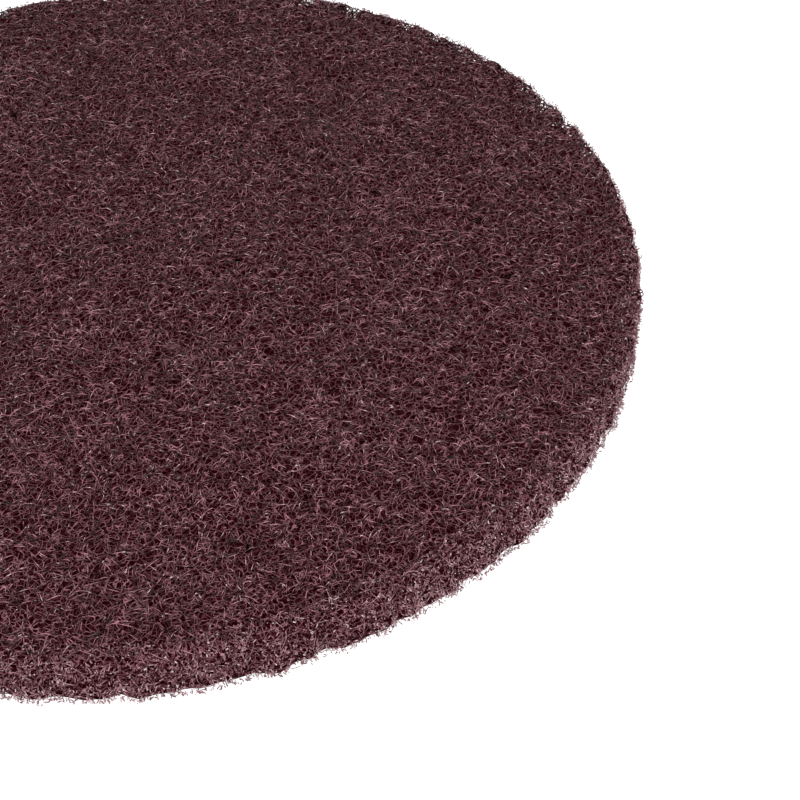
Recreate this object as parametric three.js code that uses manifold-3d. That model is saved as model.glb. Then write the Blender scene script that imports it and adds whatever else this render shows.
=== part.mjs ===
// A round scouring pad: one disc die-cut from thick, open nonwoven web.
// Crimped nylon fibres, bonded with resin and abrasive grain, cross at random through the whole thickness.
// Both faces are alike, the cut rim is ragged, and nothing is fitted to the disc: no hub, hole or backing.
// Millimetres, +Z up, origin at the middle of the underside, which lies on the floor.

import * as THREE from "three";
import { mergeVertices } from "three/addons/utils/BufferGeometryUtils.js";
import Module from "manifold-3d";

// The disc that the die cuts.
const PAD_DIAMETER = 406;
const PAD_THICKNESS = 21.5;

// The cut loosens the fibres, so the edges are soft and the rim wanders.
const EDGE_ROUND = 4.5;
const EDGE_SAG = 1.1;
const RIM_RAGGEDNESS = 1.6;

// The nap of a face: most of it lies at full height, and loose spots of web sink below it.
const NAP_DEPTH = 0.9;
const NAP_LOOSE_SHARE = 0.5;
const NAP_WANDER = 3;
const FLAT_MIDDLE_DIAMETER = 30;

// Open pores, where several loops of fibre leave a deeper gap.
const PORES_PER_FACE = 46;
const PORE_WIDTH = 4.4;
const PORE_DEPTH = 5.5;
const PORE_SCATTER = 18;
const PORE_LEAN = THREE.MathUtils.degToRad(14);
const PORE_FREE_RIM = 12;

// How finely the web is drawn.
const CELLS_ACROSS = 40;
const CELLS_THROUGH = 5;
const PORE_SIDES = 5;

const WEB_COLOUR = 0x6f3d48;

const PAD_RADIUS = PAD_DIAMETER / 2;
const EDGE_RADIUS = Math.min(EDGE_ROUND, PAD_THICKNESS / 3);
const FLAT_RADIUS = PAD_RADIUS - EDGE_RADIUS;
const GOLDEN_ANGLE = Math.PI * (3 - Math.sqrt(5));

// Each random size has a draw of its own.
const DRAW = { inset: 1, sag: 2, shiftX: 3, shiftY: 4, loose: 5, sink: 6 };
const PORE_DRAW = { shiftX: 7, shiftY: 8, mouth: 9, depth: 10, lean: 11, turn: 12 };

const wasm = await Module();
wasm.setup();

// A repeatable number from 0 to 1 for a place in the web, given by whole numbers, and a draw.
function chance(i, j, k, draw) {
  let mixed = Math.imul(i + 101, 0x27d4eb2d) ^ Math.imul(j + 211, 0x165667b1);
  mixed ^= Math.imul(k + 307, 0x1e3779b1) ^ Math.imul(draw, 0x05ebca6b);
  mixed = Math.imul(mixed ^ (mixed >>> 15), 0x2c1b3c6d);
  mixed = Math.imul(mixed ^ (mixed >>> 12), 0x297a2d39);
  return ((mixed ^ (mixed >>> 15)) >>> 0) / 2 ** 32;
}

// The same, from -0.5 to 0.5.
function swing(i, j, k, draw) {
  return chance(i, j, k, draw) - 0.5;
}

// Bends a square from -1 to 1 into a round disc and keeps areas: a ring from 0 to 1, and an angle.
function squareToDisc(a, b) {
  const alongX = Math.abs(a) > Math.abs(b);
  const reach = alongX ? a : b;
  if (reach === 0) return { ring: 0, angle: 0 };
  const angle = alongX ? (Math.PI / 4) * (b / a) : Math.PI / 2 - (Math.PI / 4) * (a / b);
  return { ring: Math.abs(reach), angle: reach < 0 ? angle + Math.PI : angle };
}

// The pad's section: the radius and height for a ring, and for a level of -1 on the underside and 1 on top.
function sectionPoint(ring, level) {
  const onFace = Math.abs(level) === 1;
  const faceHeight = (PAD_THICKNESS * (1 + level)) / 2;
  if (onFace && ring < 1) {
    const lastFlatRing = 1 - 2 / CELLS_ACROSS;
    return { radius: (FLAT_RADIUS * ring) / lastFlatRing, height: faceHeight };
  }
  if (onFace) {
    const cornerFall = EDGE_RADIUS * (1 - Math.SQRT1_2);
    return { radius: PAD_RADIUS - cornerFall, height: faceHeight - level * cornerFall };
  }
  const highestWallLevel = 1 - 2 / CELLS_THROUGH;
  const straightHalf = PAD_THICKNESS / 2 - EDGE_RADIUS;
  return { radius: PAD_RADIUS, height: PAD_THICKNESS / 2 + (straightHalf * level) / highestWallLevel };
}

// A point of the cut rim: it stands back from the die's circle, and the loosened corner sags.
function rimPoint(i, j, k, angle, level) {
  const section = sectionPoint(1, level);
  const radius = section.radius - RIM_RAGGEDNESS * chance(i, j, k, DRAW.inset);
  const atCorner = Math.abs(level) === 1;
  const sag = atCorner ? level * EDGE_SAG * chance(i, j, k, DRAW.sag) : 0;
  return [radius * Math.cos(angle), radius * Math.sin(angle), section.height - sag];
}

// A point of a face: it wanders along the face, and a loose one sinks into the web.
function facePoint(i, j, k, ring, angle, level) {
  const section = sectionPoint(ring, level);
  const nearRim = ring > 1 - 3 / CELLS_ACROSS;
  const wander = nearRim ? 0 : NAP_WANDER;
  const x = section.radius * Math.cos(angle) + wander * swing(i, j, k, DRAW.shiftX);
  const y = section.radius * Math.sin(angle) + wander * swing(i, j, k, DRAW.shiftY);
  const loose = chance(i, j, k, DRAW.loose) < NAP_LOOSE_SHARE && Math.hypot(x, y) > FLAT_MIDDLE_DIAMETER / 2;
  const sink = loose ? level * NAP_DEPTH * chance(i, j, k, DRAW.sink) : 0;
  return [x, y, section.height - sink];
}

// The whole web as one gridded block, bent into a disc with napped faces and a ragged rim.
function webSolid() {
  const block = new THREE.BoxGeometry(2, 2, 2, CELLS_ACROSS, CELLS_ACROSS, CELLS_THROUGH);
  const place = block.getAttribute("position");
  for (let n = 0; n < place.count; n++) {
    const i = Math.round(((place.getX(n) + 1) * CELLS_ACROSS) / 2);
    const j = Math.round(((place.getY(n) + 1) * CELLS_ACROSS) / 2);
    const k = Math.round(((place.getZ(n) + 1) * CELLS_THROUGH) / 2);
    const level = (2 * k) / CELLS_THROUGH - 1;
    const { ring, angle } = squareToDisc((2 * i) / CELLS_ACROSS - 1, (2 * j) / CELLS_ACROSS - 1);
    const onRim = ring > 1 - 1 / CELLS_ACROSS;
    const point = onRim ? rimPoint(i, j, k, angle, level) : facePoint(i, j, k, ring, angle, level);
    place.setXYZ(n, ...point);
  }
  return solidFrom(block);
}

// One open pore as a short tapered plug that leans a little. Its wide mouth stands proud of the face.
function poreSolid(index, side) {
  const inner = FLAT_MIDDLE_DIAMETER / 2 + PORE_SCATTER / 2 + PORE_WIDTH;
  const outer = FLAT_RADIUS - PORE_FREE_RIM - PORE_SCATTER / 2;
  const radius = inner + (outer - inner) * Math.sqrt((index + 0.5) / PORES_PER_FACE);
  const angle = GOLDEN_ANGLE * (side > 0 ? index : index + 0.5);
  const x = radius * Math.cos(angle) + PORE_SCATTER * swing(index, side, 0, PORE_DRAW.shiftX);
  const y = radius * Math.sin(angle) + PORE_SCATTER * swing(index, side, 0, PORE_DRAW.shiftY);
  const mouth = (PORE_WIDTH / 2) * (1 + 0.5 * swing(index, side, 0, PORE_DRAW.mouth));
  const depth = PORE_DEPTH * (1 - 0.4 * chance(index, side, 0, PORE_DRAW.depth));
  const proud = NAP_DEPTH;
  const plug = new THREE.CylinderGeometry(mouth, mouth / 3, depth + proud, PORE_SIDES);
  plug.translate(0, (proud - depth) / 2, 0);
  plug.rotateX(Math.PI / 2 + 2 * PORE_LEAN * swing(index, side, 0, PORE_DRAW.lean));
  plug.rotateZ(2 * Math.PI * chance(index, side, 0, PORE_DRAW.turn));
  if (side < 0) plug.rotateX(Math.PI);
  plug.translate(x, y, side > 0 ? PAD_THICKNESS : 0);
  return solidFrom(plug);
}

function solidFrom(geometry) {
  const bare = geometry.clone();
  bare.deleteAttribute("normal");
  bare.deleteAttribute("uv");
  const merged = mergeVertices(bare, 1e-4);
  const vertProperties = new Float32Array(merged.getAttribute("position").array);
  const triVerts = new Uint32Array(merged.index.array);
  return new wasm.Manifold(new wasm.Mesh({ numProp: 3, vertProperties, triVerts }));
}

function geometryFrom(solid) {
  const mesh = solid.getMesh();
  const geometry = new THREE.BufferGeometry();
  geometry.setAttribute("position", new THREE.BufferAttribute(mesh.vertProperties, 3));
  geometry.setIndex(new THREE.BufferAttribute(mesh.triVerts, 1));
  geometry.computeVertexNormals();
  return geometry;
}

function scouringPad() {
  let web = webSolid();
  for (let index = 0; index < PORES_PER_FACE; index++) {
    web = web.subtract(poreSolid(index, 1)).subtract(poreSolid(index, -1));
  }
  const material = new THREE.MeshStandardMaterial({ color: WEB_COLOUR, roughness: 0.85, metalness: 0 });
  const mesh = new THREE.Mesh(geometryFrom(web), material);
  mesh.name = "scouring_pad";
  return mesh;
}

const pad = new THREE.Group();
pad.add(scouringPad());

export default pad;
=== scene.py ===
# A round maroon scouring pad: a thick disc die-cut from open nonwoven web.
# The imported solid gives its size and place. A dark inner web with thousands of crimped fibres stands for it.
# Metres, +Z up, origin at the middle of the underside.

import math
import random

import bmesh
import bpy
import numpy
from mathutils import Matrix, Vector, kdtree, noise


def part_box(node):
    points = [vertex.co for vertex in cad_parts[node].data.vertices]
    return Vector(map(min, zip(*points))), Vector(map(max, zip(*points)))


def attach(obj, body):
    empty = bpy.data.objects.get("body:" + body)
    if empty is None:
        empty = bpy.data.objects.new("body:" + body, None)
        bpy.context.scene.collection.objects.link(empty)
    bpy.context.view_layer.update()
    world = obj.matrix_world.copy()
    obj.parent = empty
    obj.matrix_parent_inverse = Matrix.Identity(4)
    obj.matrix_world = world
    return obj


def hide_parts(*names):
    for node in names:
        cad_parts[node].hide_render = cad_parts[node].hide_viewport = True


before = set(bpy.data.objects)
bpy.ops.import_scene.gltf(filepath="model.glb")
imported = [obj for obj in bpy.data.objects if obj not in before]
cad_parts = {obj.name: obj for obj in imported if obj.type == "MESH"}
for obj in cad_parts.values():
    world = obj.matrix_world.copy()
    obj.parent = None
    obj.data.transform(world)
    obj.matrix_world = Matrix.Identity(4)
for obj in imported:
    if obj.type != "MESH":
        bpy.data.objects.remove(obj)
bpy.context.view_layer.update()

LOW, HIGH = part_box("scouring_pad")
FLOOR_Z = LOW[2]
TOP_Z = HIGH[2]
THICKNESS = TOP_Z - FLOOR_Z
MIDDLE_Z = (TOP_Z + FLOOR_Z) / 2
PAD_RADIUS = (HIGH[0] - LOW[0]) / 2
MM = 0.001

# The soft edge that the die leaves, as a section through the rim. The foot is squarer and spreads a little,
# because the pad lies on it.
EDGE_ROUND = 3.0 * MM
FOOT_ROUND = 1.5 * MM
FOOT_SPLAY = 1.5 * MM
FLAT_RADIUS = PAD_RADIUS - EDGE_ROUND
RIM_BAND = 14 * MM

# The loose stretches of the rim, where the web is so open that the floor shows through it.
LOOSE_SIZE = 11 * MM
LOOSE_BAND = 12 * MM
HOLE_SPACING = 2.3 * MM

# The inner web, which the fibres cover.
BODY_SINK = 1.1 * MM
BODY_RIM_INSET = 0.9 * MM
BODY_EDGE_INSET = 2.2 * MM
BODY_FOOT_INSET = 0.6 * MM
BODY_CELLS = 112
BODY_WALL_ROWS = 10
HUMMOCK_SIZE = 6 * MM
HUMMOCK_HEIGHT = 0.5 * MM
RAGGED_SIZE = 7 * MM
RAGGED_DEPTH = 2.6 * MM

# Open pores: those of the solid, found by how deep they go, and smaller ones between them.
SOLID_PORE_DEPTH = 2.5 * MM
SOLID_PORE_GAP = 3 * MM
PORE_RADIUS = 1.9 * MM
SMALL_PORES = 260
SMALL_PORE_RADIUS = (0.8 * MM, 1.5 * MM)
PORE_DEPTH = 3.0 * MM
PORE_SQUARE = 6 * MM

# The share of fibres that are gone where the web is quite loose.
FACE_FIBRES_GONE = 0.88
RIM_FIBRES_GONE = 0.4
CUT_ENDS_GONE = 0.7

# The fibres: crimped nylon with a coat of resin and grain.
FIBRE_WIDTH = 0.28 * MM
CUT_END_WIDTH = 0.44 * MM
STRAND_STEP = 2.0 * MM
ARCH_STEP = 2.5 * MM
RIM_STEP = 1.5 * MM
CUT_END_LENGTH = (0.6 * MM, 1.6 * MM)
CURL_RADIUS = (4 * MM, 20 * MM)
CURL_TURN = (math.radians(20), math.radians(75))
CURL_FLIP = 0.7

TOP_PIECES = 3
TOP_STRANDS = 560
STRAND_STEPS = 12
TOP_ARCHES = 8200
ARCH_STEPS = 2
UNDER_STRANDS = 200
UNDER_ARCHES = 2800
RIM_STRANDS = 3800
RIM_STEPS = 5
CUT_ENDS = 22000

# The cells of a flat map: how tall one is for its width, how much of it is used, and where the corners of a
# fibre's side and of its cap lie.
CELL_HEIGHT = 1.4
CELL_FILL = 0.9
SIDE_CORNERS = ((0, 1), (1, 1), (1, 0), (0, 0))
CAP_CORNERS = ((0, 0), (0.9, 0), (0, 0.9))

# The photograph's view: the camera's place over the floor, its tilt below the horizon and its lens.
CAMERA_PLACE = (0.1062, -0.4637, 0.4052)
CAMERA_TILT_DOWN = math.radians(45.66)
CAMERA_LENS_MM = 66.4
SENSOR_MM = 36

WORLD_LEVEL = 0.42
LAMP_PLACE = (0.05, -1.1, 1.45)
LAMP_SIZE = 0.4
LAMP_POWER = 29.5
FLOOR_GLOW = 0.79
WHITE = (1, 1, 1, 1)

# Linear colours. Those of a fibre are its dull, its bright and its glint tone; the glint tone is a painted
# highlight.
COATED_TONES = ((0.044, 0.0052, 0.0095), (0.560, 0.250, 0.285), (0.74, 0.56, 0.58))
# The cut wall's tones are lighter than the faces': partly the cut fibres' own colour, partly painted light on
# the wall.
CUT_TONES = ((0.125, 0.0320, 0.0480), (0.460, 0.245, 0.275), (0.72, 0.60, 0.62))
# The tones of the web's gaps are painted shade, where one looks deep into the web.
PAINTED_GAP_SHADE = (0.0070, 0.0002, 0.0008)
PAINTED_CUT_GAP_SHADE = (0.0200, 0.0020, 0.0045)
# Painted shade at the bottoms of the pores.
PORE_PAINTED_SHADE = (0.0030, 0.0006, 0.0010)
# Painted shade: a fibre keeps its maroon at the pad's outside and is painted into shade at this depth in the
# web.
PAINTED_SHADE_MAROON = (0.012, 0.0004, 0.0016)
SHADE_DEPTH = 1.0 * MM
RIM_SHADE_DEPTH = 5 * MM
# Painted highlights: cut fibres get painted glints more often near the foot of the rim.
FOOT_PAINTED_GLINTS = 0.11
FOOT_PAINTED_GLINT_HEIGHT = 9 * MM
# The sizes over which the tone of the web and of a fibre varies, and that of a fibre's painted glints.
WEB_PATCH = 11 * MM
FIBRE_PATCH = 24 * MM
FIBRE_STRETCH = 2.4 * MM
PAINTED_GLINT_SIZE = 1.3 * MM
GRAIN_SIZE = 0.6 * MM
# Each network of fibres in the web, from the lowest: the size of its gaps, its line width and its tone. The
# lower networks are painted darker, as shade deep in the web.
WEB_NETWORKS = [
    (1.3 * MM, 0.115, (0.016, 0.0006, 0.0021)),
    (1.8 * MM, 0.080, (0.032, 0.0040, 0.0072)),
    (2.3 * MM, 0.062, (0.090, 0.0260, 0.0345)),
    (2.9 * MM, 0.050, (0.270, 0.1220, 0.1400)),
]
# The cut wall's networks are lighter: partly the cut web's own colour, partly painted light on the wall.
CUT_NETWORKS = [
    (1.1 * MM, 0.15, (0.085, 0.0180, 0.0290)),
    (1.5 * MM, 0.12, (0.170, 0.0650, 0.0830)),
    (2.0 * MM, 0.09, (0.310, 0.1650, 0.1900)),
]


def add_camera():
    data = bpy.data.cameras.new("photo_view")
    data.lens = CAMERA_LENS_MM
    data.sensor_width = SENSOR_MM
    data.clip_start = 0.01
    camera = bpy.data.objects.new("photo_view", data)
    camera.location = CAMERA_PLACE
    camera.rotation_euler = (math.pi / 2 - CAMERA_TILT_DOWN, 0, 0)
    bpy.context.collection.objects.link(camera)
    bpy.context.scene.camera = camera


class Wire:
    """A shader socket that can be used in sums."""

    def __init__(self, graph, socket):
        self.graph = graph
        self.socket = socket

    def sum(self, operation, *values):
        sockets = dict(enumerate(values))
        return self.graph.node("ShaderNodeMath", {"operation": operation}, sockets)

    def __add__(self, other):
        return self.sum("ADD", self, other)

    def __radd__(self, other):
        return self.sum("ADD", other, self)

    def __sub__(self, other):
        return self.sum("SUBTRACT", self, other)

    def __rsub__(self, other):
        return self.sum("SUBTRACT", other, self)

    def __mul__(self, other):
        return self.sum("MULTIPLY", self, other)

    def __rmul__(self, other):
        return self.sum("MULTIPLY", other, self)

    def __abs__(self):
        return self.sum("ABSOLUTE", self)

    def max(self, other):
        return self.sum("MAXIMUM", self, other)

    def ramp(self, start, end):
        """0 at start, 1 at end and smooth between them."""
        values = {"Value": self, "From Min": start, "From Max": end}
        return self.graph.node("ShaderNodeMapRange", {"interpolation_type": "SMOOTHSTEP"}, values)


class Graph:
    """A node tree under construction, with one method that adds any node."""

    def __init__(self, tree):
        self.tree = tree
        self.tree.nodes.clear()

    def node(self, kind, settings=None, values=None, output=0):
        made = self.tree.nodes.new(kind)
        for key, setting in (settings or {}).items():
            setattr(made, key, setting)
        for key, value in (values or {}).items():
            if isinstance(value, Wire):
                self.tree.links.new(value.socket, made.inputs[key])
            else:
                made.inputs[key].default_value = value
        return Wire(self, made.outputs[output]) if made.outputs else None

    def background_rays(self):
        """1 for the rays that show the backdrop: straight, in a reflection or through glass."""
        camera = self.node("ShaderNodeLightPath", output="Is Camera Ray")
        glossy = self.node("ShaderNodeLightPath", output="Is Glossy Ray")
        through = self.node("ShaderNodeLightPath", output="Is Transmission Ray")
        return camera.max(glossy).max(through)


class Finish(Graph):
    """A material."""

    def __init__(self, name):
        self.material = bpy.data.materials.new(name)
        self.material.use_nodes = True
        super().__init__(self.material.node_tree)
        self.place = self.node("ShaderNodeTexCoord", output="Object")

    def noise(self, size, seed, detail=0.0, output=0):
        """Soft noise with features of about the given size, around 0.5."""
        shifted = self.vectors("ADD", {0: self.place, 1: (seed, seed * 0.7, seed * 1.3)})
        values = {"Vector": shifted, "Scale": 1 / size, "Detail": detail}
        return self.node("ShaderNodeTexNoise", {"noise_dimensions": "3D"}, values, output)

    def vectors(self, operation, values, output=0):
        return self.node("ShaderNodeVectorMath", {"operation": operation}, values, output)

    def attribute(self, name):
        return self.node("ShaderNodeAttribute", {"attribute_name": name}, None, "Fac")

    def height(self):
        return self.node("ShaderNodeSeparateXYZ", None, {"Vector": self.place}, "Z")

    def outerness(self):
        """Where shade is painted: 1 at the pad's outside and 0 where the web is painted in shade, over the
        faces and round the rim.
        """
        up = abs(self.height() - MIDDLE_Z)
        flat = self.vectors("MULTIPLY", {0: self.place, 1: (1, 1, 0)})
        out = self.vectors("LENGTH", {0: flat}, "Value")
        near_face = up.ramp(THICKNESS / 2 - SHADE_DEPTH, THICKNESS / 2)
        return near_face.max(out.ramp(PAD_RADIUS - RIM_SHADE_DEPTH, PAD_RADIUS))

    def blend(self, share, first, second):
        colours = {0: share, 6: tint(first), 7: tint(second)}
        settings = {"data_type": "RGBA", "clamp_factor": True}
        return self.node("ShaderNodeMix", settings, colours, 2)

    def bump(self, height, distance, strength):
        values = {"Height": height, "Distance": distance, "Strength": strength}
        return self.node("ShaderNodeBump", None, values)

    def close(self, colour, roughness, normal, **sockets):
        named = {key.replace("_", " "): value for key, value in sockets.items()}
        values = {"Base Color": colour, "Roughness": roughness, "Normal": normal, **named}
        shader = self.node("ShaderNodeBsdfPrincipled", None, values)
        self.node("ShaderNodeOutputMaterial", None, {"Surface": shader})
        return self.material


def tint(colour):
    return (*colour, 1) if isinstance(colour, tuple) else colour


def cell_edge(finish, place, gap, seed):
    """The distance to the nearest line of a tangle, in shares of the size of its gaps."""
    shifted = finish.vectors("ADD", {0: place, 1: (seed, seed * 1.7, seed * 0.6)})
    settings = {"feature": "DISTANCE_TO_EDGE"}
    values = {"Vector": shifted, "Scale": 1 / gap, "Randomness": 1.0}
    return finish.node("ShaderNodeTexVoronoi", settings, values, "Distance")


def network(finish, place, gap, width, seed):
    """A tangle of thin lines with gaps of about the given size: 1 on a line and 0 beside it."""
    return 1 - cell_edge(finish, place, gap, seed).ramp(width * 0.4, width)


def web_finish(name, networks, painted_gap_shade):
    """The web below the topmost fibres: layer over layer of fibres that cross, with painted shade that deepens
    with depth.
    """
    finish = Finish(name)
    patch = finish.noise(WEB_PATCH, 3.0, 2.0)
    colour = painted_gap_shade
    relief = 0.0
    for layer, (gap, width, tone) in enumerate(networks):
        bend = finish.noise(gap * 1.4, 11.0 + layer, 1.0, "Color")
        sway = {0: bend, 1: (gap * 2.2, gap * 2.2, gap * 2.2), 2: finish.place}
        place = finish.vectors("MULTIPLY_ADD", sway)
        line = network(finish, place, gap, width, 0.37 * (layer + 1))
        colour = finish.blend(line * (patch + 0.4), colour, tone)
        relief = line * ((layer + 1) / len(networks)) + relief
    # Painted shade: the pores are painted near-black towards their bottoms.
    colour = finish.blend(finish.attribute("pit") * 0.9, colour, PORE_PAINTED_SHADE)
    # Round holes open and grow where the web is loose.
    loose = finish.attribute("loose")
    hole = (cell_edge(finish, finish.place, HOLE_SPACING, 5.0) + loose * 0.27).ramp(0.34, 0.38)
    cover = 1 - hole * loose.ramp(0.0, 0.05)
    normal = finish.bump(relief, 0.4 * MM, 0.6)
    return finish.close(colour, 0.7, normal, Alpha=cover, Specular_IOR_Level=0.0)


def fibre_finish(name, dull, bright, painted_glint, foot_painted_glints):
    """A coated fibre: maroon resin with fine grain, uneven along its length, with painted glints and painted
    shade deep in the web.
    """
    finish = Finish(name)
    patch = finish.noise(FIBRE_PATCH, 2.0, 2.0)
    along = finish.noise(FIBRE_STRETCH, 7.0, 1.0)
    grain = finish.noise(GRAIN_SIZE, 4.0, 1.0)
    painted_glint_noise = finish.noise(PAINTED_GLINT_SIZE, 5.0)
    tone = (patch - 0.5) * 0.8 + (along - 0.5) * 3.0 + (grain - 0.5) * 2.0 + 0.45
    colour = finish.blend(tone, dull, bright)
    foot = 1 - finish.height().ramp(FLOOR_Z, FLOOR_Z + FOOT_PAINTED_GLINT_HEIGHT)
    # Painted highlight: the glint tone is laid on at random spots, and more often near the rim's foot.
    colour = finish.blend((painted_glint_noise + foot * foot_painted_glints).ramp(0.66, 0.76), colour, painted_glint)
    # Painted shade: fibres deep in the web are painted dark.
    colour = finish.blend(finish.outerness(), PAINTED_SHADE_MAROON, colour)
    roughness = 0.34 + grain.ramp(0.35, 0.75) * 0.3
    normal = finish.bump(grain, 0.06 * MM, 0.5)
    return finish.close(colour, roughness, normal, Specular_IOR_Level=0.35)


def square_to_disc(a, b):
    """Bends a square from -1 to 1 into a round disc and keeps areas."""
    along_x = abs(a) > abs(b)
    reach = a if along_x else b
    if reach == 0:
        return 0.0, 0.0
    angle = (math.pi / 4) * (b / a) if along_x else math.pi / 2 - (math.pi / 4) * (a / b)
    return (abs(reach), angle if reach > 0 else angle + math.pi)


def body_section(turn):
    """The inner web's rim, from the top face at a quarter turn to the underside at minus a quarter turn."""
    inset = BODY_EDGE_INSET if turn > 0 else BODY_FOOT_INSET
    bulge = inset - BODY_RIM_INSET
    half = THICKNESS / 2 - BODY_SINK
    side = math.copysign(1, turn)
    radius = PAD_RADIUS - inset + bulge * math.cos(turn) ** 0.6
    return radius, MIDDLE_Z + side * half * abs(math.sin(turn)) ** 0.7


def share(value, start, end):
    """0 at start and before it, 1 at end and past it."""
    return min(max((value - start) / (end - start), 0), 1)


def looseness(place):
    """How loose the web is: 0 where it is close, 1 in open stretches above the foot of the rim's far half."""
    reach = math.hypot(place.x, place.y)
    stretch = Vector((place.x, place.y, 0)) * (PAD_RADIUS / max(reach, MM) / LOOSE_SIZE)
    patch = noise.noise(stretch + Vector((7, 2, 51))) + 0.5 * noise.noise(2.5 * stretch)
    near_rim = share(reach, PAD_RADIUS - LOOSE_BAND, PAD_RADIUS - 0.4 * LOOSE_BAND)
    high = share(place.z, FLOOR_Z + 0.2 * THICKNESS, FLOOR_Z + 0.45 * THICKNESS)
    far = share(place.y, -0.1 * PAD_RADIUS, 0.4 * PAD_RADIUS)
    return share(patch, -0.25, 0.25) * near_rim * high * far


def rim_wander(x, y):
    """How far the cut rim stands out from the die's circle, or back from it, at a place round it."""
    return noise.noise(Vector((x, y, 0)) / RAGGED_SIZE + Vector((3, 41, 9))) * RAGGED_DEPTH


def kept_where_loose(draw, place, gone):
    """Whether a fibre is left at a place: where the web is loose, up to the given share of them is gone."""
    return draw.random() > gone * looseness(Vector(place))


def solid_pores():
    """The middles of the pores that the solid has in its top face, from the points deep below that face."""
    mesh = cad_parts["scouring_pad"].data
    found = []
    for vert in mesh.vertices:
        x, y, z = vert.co
        if MIDDLE_Z < z < TOP_Z - SOLID_PORE_DEPTH and math.hypot(x, y) < PAD_RADIUS - RIM_BAND / 2:
            if all(math.hypot(x - px, y - py) > SOLID_PORE_GAP for px, py in found):
                found.append((x, y))
    return found


def scatter_pores():
    """Every pore of a face: its middle and radius."""
    draw = random.Random(50)
    pores = [(x, y, PORE_RADIUS * draw.uniform(0.85, 1.15)) for x, y in solid_pores()]
    for _ in range(SMALL_PORES):
        radius = (PAD_RADIUS - RIM_BAND / 2) * math.sqrt(draw.random())
        angle = draw.uniform(0, 2 * math.pi)
        pores.append((radius * math.cos(angle), radius * math.sin(angle), draw.uniform(*SMALL_PORE_RADIUS)))
    return pores


def pore_grid(pores):
    """The pores filed by square, so that a place looks only at those near it."""
    grid = {}
    for x, y, radius in pores:
        for i in (-1, 0, 1):
            for j in (-1, 0, 1):
                square = (int(x // PORE_SQUARE) + i, int(y // PORE_SQUARE) + j)
                grid.setdefault(square, []).append((x, y, radius))
    return grid


def over_pore(grid, x, y):
    near = grid.get((int(x // PORE_SQUARE), int(y // PORE_SQUARE)), [])
    return any(math.hypot(x - px, y - py) < radius for px, py, radius in near)


def web_relief(place, normal):
    """How far a point of the inner web stands from its plain form: hummocks, and the rim's wander."""
    hummock = normal * noise.noise(place / HUMMOCK_SIZE) * HUMMOCK_HEIGHT
    near_rim = share(math.hypot(place.x, place.y), FLAT_RADIUS - EDGE_ROUND, FLAT_RADIUS + 0.8 * EDGE_ROUND)
    outward = Vector((place.x, place.y, 0)).normalized()
    return hummock + outward * rim_wander(place.x, place.y) * near_rim


def sink_pores(mesh, pores, pits):
    """Sets a face of the web's grid into the web at each pore."""
    flat = [face for face in mesh.faces if face.normal.z > 0.9 and face.material_index == 0]
    tree = kdtree.KDTree(len(flat))
    for index, face in enumerate(flat):
        tree.insert(face.calc_center_median(), index)
    tree.balance()
    taken = set()
    for x, y, radius in pores:
        index = tree.find((x, y, TOP_Z))[1]
        if index in taken:
            continue
        taken.add(index)
        face = flat[index]
        shift = Vector((x, y, 0)) - face.calc_center_median()
        shift.z = 0
        bmesh.ops.inset_individual(mesh, faces=[face], thickness=0.2 * MM)
        middle = face.calc_center_median()
        for vert in face.verts:
            outward = (vert.co - middle).normalized()
            vert.co = middle + outward * radius + shift * 0.4
            vert[pits] = 0.0
        bmesh.ops.inset_individual(mesh, faces=[face], thickness=radius * 0.2)
        for vert in face.verts:
            vert.co.z -= PORE_DEPTH
            vert[pits] = 1.0


def web_face(mesh, upward):
    """One face of the inner web, as a grid bent into a disc."""
    made = bmesh.ops.create_grid(mesh, x_segments=BODY_CELLS, y_segments=BODY_CELLS, size=1)
    height = MIDDLE_Z + (1 if upward else -1) * (THICKNESS / 2 - BODY_SINK)
    reach = PAD_RADIUS - (BODY_EDGE_INSET if upward else BODY_FOOT_INSET)
    for vert in made["verts"]:
        ring, angle = square_to_disc(vert.co.x, vert.co.y)
        radius = ring * reach
        vert.co = (radius * math.cos(angle), radius * math.sin(angle), height)
    if not upward:
        faces = list({face for vert in made["verts"] for face in vert.link_faces})
        bmesh.ops.reverse_faces(mesh, faces=faces)
    return made["verts"]


def web_wall(mesh):
    """The inner web's rim: the top face's edge drawn down row by row."""
    edges = [e for e in mesh.edges if e.is_boundary]
    for row in range(1, BODY_WALL_ROWS + 1):
        turn = math.pi * (0.5 - row / BODY_WALL_ROWS)
        radius, height = body_section(turn)
        drawn = bmesh.ops.extrude_edge_only(mesh, edges=edges)["geom"]
        for vert in [g for g in drawn if isinstance(g, bmesh.types.BMVert)]:
            outward = Vector((vert.co.x, vert.co.y, 0)).normalized()
            vert.co = outward * radius + Vector((0, 0, height))
        edges = [g for g in drawn if isinstance(g, bmesh.types.BMEdge)]
        for face in [g for g in drawn if isinstance(g, bmesh.types.BMFace)]:
            face.material_index = 1


def web_body(pores, face_finish, wall_finish):
    """The inner web: a closed rounded disc with hummocks all over and pores in its top face."""
    mesh = bmesh.new()
    web_face(mesh, True)
    web_wall(mesh)
    web_face(mesh, False)
    bmesh.ops.remove_doubles(mesh, verts=mesh.verts, dist=0.02 * MM)
    bmesh.ops.recalc_face_normals(mesh, faces=mesh.faces)
    mesh.normal_update()
    pits = mesh.verts.layers.float.new("pit")
    loose = mesh.verts.layers.float.new("loose")
    moves = []
    for vert in mesh.verts:
        vert[loose] = looseness(vert.co)
        moves.append(web_relief(vert.co, vert.normal))
    for vert, move in zip(mesh.verts, moves):
        vert.co += move
    mesh.normal_update()
    sink_pores(mesh, pores, pits)
    data = bpy.data.meshes.new("web_body")
    mesh.to_mesh(data)
    mesh.free()
    data.shade_smooth()
    add_piece("web_body", data, face_finish, wall_finish)


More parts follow.
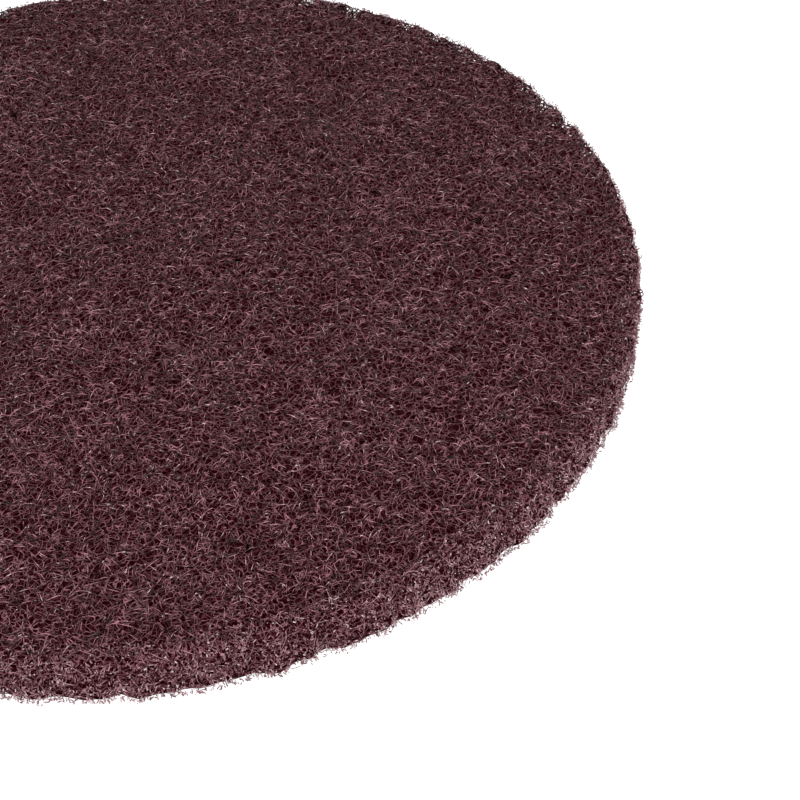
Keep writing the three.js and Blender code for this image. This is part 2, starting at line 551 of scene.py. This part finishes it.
def curl(draw, steps, step):
    """A crimped fibre laid out flat: places along joined arcs, around their middle."""
    heading = draw.uniform(0, 2 * math.pi)
    side = draw.choice((-1, 1))
    x, y, left = 0.0, 0.0, 0.0
    places = [(x, y)]
    for _ in range(steps):
        if left <= 0:
            radius = draw.uniform(*CURL_RADIUS)
            left = radius * draw.uniform(*CURL_TURN)
            side = -side if draw.random() < CURL_FLIP else side
        heading += side * step / radius
        left -= step
        x += step * math.cos(heading)
        y += step * math.sin(heading)
        places.append((x, y))
    middle_x = sum(p[0] for p in places) / len(places)
    middle_y = sum(p[1] for p in places) / len(places)
    return [(px - middle_x, py - middle_y) for px, py in places]


def wave(draw, middle, swing):
    """A fibre's rise and fall through the web, as a function of the distance run."""
    length = draw.uniform(6, 13) * MM
    start = draw.uniform(0, 2 * math.pi)
    level = middle + draw.uniform(-0.35, 0.35) * swing
    return lambda run: level + swing * math.sin(2 * math.pi * run / length + start)


def face_place(x, y, rise, upward):
    """A place in a face's nap, at a height above that face, which rounds off and draws in at the rim."""
    reach = math.hypot(x, y)
    over = max(reach - FLAT_RADIUS, 0)
    squeeze = (FLAT_RADIUS + over * 0.5) / reach if over > 0 else 1
    rise -= 0.5 * over
    z = TOP_Z + rise if upward else FLOOR_Z - rise
    return (x * squeeze, y * squeeze, max(z, FLOOR_Z + FIBRE_WIDTH / 2))


def face_middle(draw, free_rim, pores):
    """A fibre's middle on a face, clear of the pores and seldom where the web is loose."""
    while True:
        radius = (PAD_RADIUS - free_rim) * math.sqrt(draw.random())
        angle = draw.uniform(0, 2 * math.pi)
        x, y = radius * math.cos(angle), radius * math.sin(angle)
        if not over_pore(pores, x, y) and kept_where_loose(draw, (x, y, TOP_Z), FACE_FIBRES_GONE):
            return x, y


def face_strand(draw, upward, pores):
    """A fibre that lies on a face, dips in and out of the web and passes below a pore's mouth."""
    middle_x, middle_y = face_middle(draw, 7 * MM, pores)
    lift = wave(draw, -0.55 * MM, 0.6 * MM)
    strand = []
    for count, (x, y) in enumerate(curl(draw, STRAND_STEPS, STRAND_STEP)):
        rise = lift(count * STRAND_STEP)
        if over_pore(pores, middle_x + x, middle_y + y):
            rise -= 2 * MM
        strand.append(face_place(middle_x + x, middle_y + y, rise, upward))
    return strand


def face_arch(draw, upward, pores):
    """A short length of fibre that comes up out of the web and dives back into it."""
    middle_x, middle_y = face_middle(draw, 4.5 * MM, pores)
    crown = draw.uniform(-0.9, 0.1) * MM
    dive = draw.uniform(0.6, 1.3) * MM
    strand = []
    for count, (x, y) in enumerate(curl(draw, ARCH_STEPS, ARCH_STEP)):
        along = 2 * count / ARCH_STEPS - 1
        strand.append(face_place(middle_x + x, middle_y + y, crown - dive * along * along, upward))
    return strand


def rim_section(run):
    """The rim's section: radius, height and outward direction at a distance run from the top face's band."""
    arc = EDGE_ROUND * math.pi / 2
    foot = FOOT_ROUND * math.pi / 2
    wall = THICKNESS - EDGE_ROUND - FOOT_ROUND
    if run < RIM_BAND:
        return FLAT_RADIUS - RIM_BAND + run, TOP_Z, 0.0, 1.0
    run -= RIM_BAND
    if run < arc:
        turn = run / EDGE_ROUND
        out, up = math.sin(turn), math.cos(turn)
        return FLAT_RADIUS + EDGE_ROUND * out, TOP_Z - EDGE_ROUND * (1 - up), out, up
    run -= arc
    if run < wall:
        return PAD_RADIUS + FOOT_SPLAY * (run / wall) ** 2, TOP_Z - EDGE_ROUND - run, 1.0, 0.0
    run -= wall
    turn = min(run, foot) / FOOT_ROUND
    out, up = math.cos(turn), -math.sin(turn)
    past = max(run - foot, 0)
    return PAD_RADIUS + FOOT_SPLAY - FOOT_ROUND * (1 - out) - past, FLOOR_Z + FOOT_ROUND * (1 + up), out, up


def rim_point(around, run, lift):
    radius, height, out, up = rim_section(run)
    angle = around / PAD_RADIUS
    wander = rim_wander(PAD_RADIUS * math.cos(angle), PAD_RADIUS * math.sin(angle))
    radius += (lift + wander) * out
    height += lift * up
    return (radius * math.cos(angle), radius * math.sin(angle), max(height, FLOOR_Z + CUT_END_WIDTH / 2))


# The run over the top face's band, the edge, the wall and the foot, and how far a fibre may go under the pad.
RIM_RUN = RIM_BAND + (EDGE_ROUND + FOOT_ROUND) * (math.pi / 2 - 1) + THICKNESS
PAST_FOOT = 4 * MM


def rim_strand(draw):
    """A fibre that bends over the soft edge and along the cut wall, on it or some way in."""
    while True:
        around = draw.uniform(0, 2 * math.pi) * PAD_RADIUS
        start = RIM_RUN * (0.25 + 0.75 * draw.random() ** 1.5)
        if kept_where_loose(draw, rim_point(around, start, 0), RIM_FIBRES_GONE):
            break
    depth = draw.uniform(0, 1) ** 1.6
    lift = wave(draw, (-0.4 - 4.5 * depth) * MM, 0.6 * MM)
    strand = []
    for count, (x, y) in enumerate(curl(draw, RIM_STEPS, RIM_STEP)):
        run = min(max(start + y, 0), RIM_RUN + PAST_FOOT)
        strand.append(rim_point(around + x, run, lift(count * RIM_STEP)))
    return strand


def cut_end(draw):
    """A cut fibre end that stands out of the wall. Where the web is loose they are few but reach further."""
    while True:
        around = draw.uniform(0, 2 * math.pi) * PAD_RADIUS
        run = RIM_BAND * 0.7 + draw.random() * (RIM_RUN - RIM_BAND * 0.7)
        place = rim_point(around, run, 0)
        if kept_where_loose(draw, place, CUT_ENDS_GONE):
            break
    length = draw.uniform(*CUT_END_LENGTH)
    lean = draw.uniform(0.2, 1.35)
    turn = draw.uniform(0, 2 * math.pi)
    reach = (draw.uniform(-1.2, 0.5) + 0.5 * looseness(Vector(place))) * MM
    tip = rim_point(around, run, reach)
    aside = length * math.sin(lean)
    foot_run = min(max(run + aside * math.sin(turn), 0), RIM_RUN + PAST_FOOT)
    foot = rim_point(around + aside * math.cos(turn), foot_run, reach - length * math.cos(lean))
    return [foot, tip]


def three_sided_section(width):
    """The fibres' section, drawn along each of them."""
    data = bpy.data.curves.new("fibre_section", "CURVE")
    ring = data.splines.new("POLY")
    ring.points.add(2)
    for side, point in enumerate(ring.points):
        angle = 2 * math.pi * side / 3
        point.co = (width / 2 * math.cos(angle), width / 2 * math.sin(angle), 0, 1)
    ring.use_cyclic_u = True
    section = bpy.data.objects.new("fibre_section", data)
    bpy.context.collection.objects.link(section)
    return section


def cell_corners(first, count, columns):
    """The lower left corners of a run of a flat map's cells, counted row by row."""
    cells = numpy.arange(first, first + count)
    return numpy.stack((cells % columns, cells // columns), axis=1)[:, None, :]


def lay_out_bake_map(mesh, fibres):
    """The flat map for baking: a cell holds the three sides of a fibre's step, or six fibre caps.

    The mesh lists the two caps of every fibre first and then the sides, step by step along each fibre.
    """
    caps = 2 * fibres
    steps = (len(mesh.polygons) - caps) // 3
    cap_cells = math.ceil(caps / 6)
    columns = math.ceil(math.sqrt(CELL_HEIGHT * (steps + cap_cells)))
    rows = math.ceil((steps + cap_cells) / columns)
    sides = [(across, (up + number) / 3 * CELL_FILL) for number in range(3) for across, up in SIDE_CORNERS]
    shares = [(column, row) for row in range(3) for column in range(2)]
    ends = [((x + i) / 2 * CELL_FILL, (y + j) / 3 * CELL_FILL) for i, j in shares for x, y in CAP_CORNERS]
    step_places = cell_corners(0, steps, columns) + numpy.array(sides)[None]
    cap_places = cell_corners(steps, cap_cells, columns) + numpy.array(ends)[None]
    places = numpy.concatenate((cap_places.reshape(-1, 2)[: 3 * caps], step_places.reshape(-1, 2)))
    while mesh.uv_layers:
        mesh.uv_layers.remove(mesh.uv_layers[0])
    mesh.uv_layers.new(name="OFBake").data.foreach_set("uv", (places / (columns, rows)).ravel())


def strands_mesh(name, strands, section):
    """All the fibres of one piece as closed three-sided threads."""
    data = bpy.data.curves.new(name, "CURVE")
    data.dimensions = "3D"
    data.bevel_mode = "OBJECT"
    data.bevel_object = section
    data.use_fill_caps = True
    for strand in strands:
        line = data.splines.new("POLY")
        line.points.add(len(strand) - 1)
        line.points.foreach_set("co", [value for place in strand for value in (*place, 1)])
    thread = bpy.data.objects.new(name, data)
    bpy.context.collection.objects.link(thread)
    ready = thread.evaluated_get(bpy.context.evaluated_depsgraph_get())
    mesh = bpy.data.meshes.new_from_object(ready)
    bpy.data.objects.remove(thread)
    bpy.data.curves.remove(data)
    mesh.name = name
    mesh.shade_smooth()
    lay_out_bake_map(mesh, len(strands))
    return mesh


def add_piece(name, mesh, *finishes):
    piece = bpy.data.objects.new(name, mesh)
    mesh.materials.clear()
    for finish in finishes:
        mesh.materials.append(finish)
    bpy.context.collection.objects.link(piece)
    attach(piece, "root")
    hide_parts("scouring_pad")
    return piece


def add_fibre_piece(name, strands, width, finish):
    section = three_sided_section(width)
    add_piece(name, strands_mesh(name, strands, section), finish)
    data = section.data
    bpy.data.objects.remove(section)
    bpy.data.curves.remove(data)


def add_fibres(pores):
    grid = pore_grid(pores)
    face = fibre_finish("coated_fibre", *COATED_TONES, 0.0)
    cut = fibre_finish("cut_fibre", *CUT_TONES, FOOT_PAINTED_GLINTS)
    for number in range(TOP_PIECES):
        draw = random.Random(100 + number)
        strands = [face_strand(draw, True, grid) for _ in range(TOP_STRANDS)]
        strands += [face_arch(draw, True, grid) for _ in range(TOP_ARCHES)]
        add_fibre_piece(f"top_fibres_{number + 1}", strands, FIBRE_WIDTH, face)
    draw = random.Random(200)
    strands = [face_strand(draw, False, {}) for _ in range(UNDER_STRANDS)]
    strands += [face_arch(draw, False, {}) for _ in range(UNDER_ARCHES)]
    add_fibre_piece("underside_fibres", strands, FIBRE_WIDTH, face)
    draw = random.Random(300)
    add_fibre_piece("rim_fibres", [rim_strand(draw) for _ in range(RIM_STRANDS)], FIBRE_WIDTH, cut)
    add_fibre_piece("cut_ends", [cut_end(draw) for _ in range(CUT_ENDS)], CUT_END_WIDTH, cut)


def floor_finish():
    """A pale matt floor that shows white and keeps the pad's soft shadow."""
    finish = Finish("pale_floor")
    matt = finish.node("ShaderNodeBsdfDiffuse", None, {"Color": (0.8, 0.8, 0.8, 1)})
    thin = finish.node("ShaderNodeBsdfDiffuse", None, {"Color": (0.5, 0.5, 0.5, 1)})
    glow = finish.node("ShaderNodeEmission", None, {"Color": WHITE, "Strength": FLOOR_GLOW})
    seen = finish.node("ShaderNodeAddShader", None, {0: thin, 1: glow})
    shown = finish.node("ShaderNodeMixShader", None, {0: finish.background_rays(), 1: matt, 2: seen})
    finish.node("ShaderNodeOutputMaterial", None, {"Surface": shown})
    return finish.material


def add_floor():
    mesh = bmesh.new()
    bmesh.ops.create_grid(mesh, x_segments=1, y_segments=1, size=4)
    bmesh.ops.translate(mesh, verts=mesh.verts, vec=(0, 0, FLOOR_Z - 0.2 * MM))
    data = bpy.data.meshes.new("floor")
    mesh.to_mesh(data)
    mesh.free()
    data.materials.append(floor_finish())
    floor = bpy.data.objects.new("floor", data)
    bpy.context.collection.objects.link(floor)


def add_lamp(name, place, target, size, power):
    data = bpy.data.lights.new(name, "AREA")
    data.size = size
    data.energy = power
    lamp = bpy.data.objects.new(name, data)
    lamp.location = place
    lamp.rotation_euler = (Vector(target) - Vector(place)).to_track_quat("-Z", "Y").to_euler()
    bpy.context.collection.objects.link(lamp)


def add_light():
    world = bpy.data.worlds.new("studio")
    world.use_nodes = True
    graph = Graph(world.node_tree)
    strength = graph.background_rays() * (1 - WORLD_LEVEL) + WORLD_LEVEL
    glow = graph.node("ShaderNodeBackground", None, {"Color": WHITE, "Strength": strength})
    graph.node("ShaderNodeOutputWorld", None, {"Surface": glow})
    bpy.context.scene.world = world
    add_lamp("front_softbox", LAMP_PLACE, (0, 0, 0), LAMP_SIZE, LAMP_POWER)
    bpy.context.scene.view_settings.view_transform = "Standard"


add_camera()
add_floor()
add_light()
PORES = scatter_pores()
web_body(
    PORES,
    web_finish("web_in_shade", WEB_NETWORKS, PAINTED_GAP_SHADE),
    web_finish("cut_web", CUT_NETWORKS, PAINTED_CUT_GAP_SHADE),
)
add_fibres(PORES)
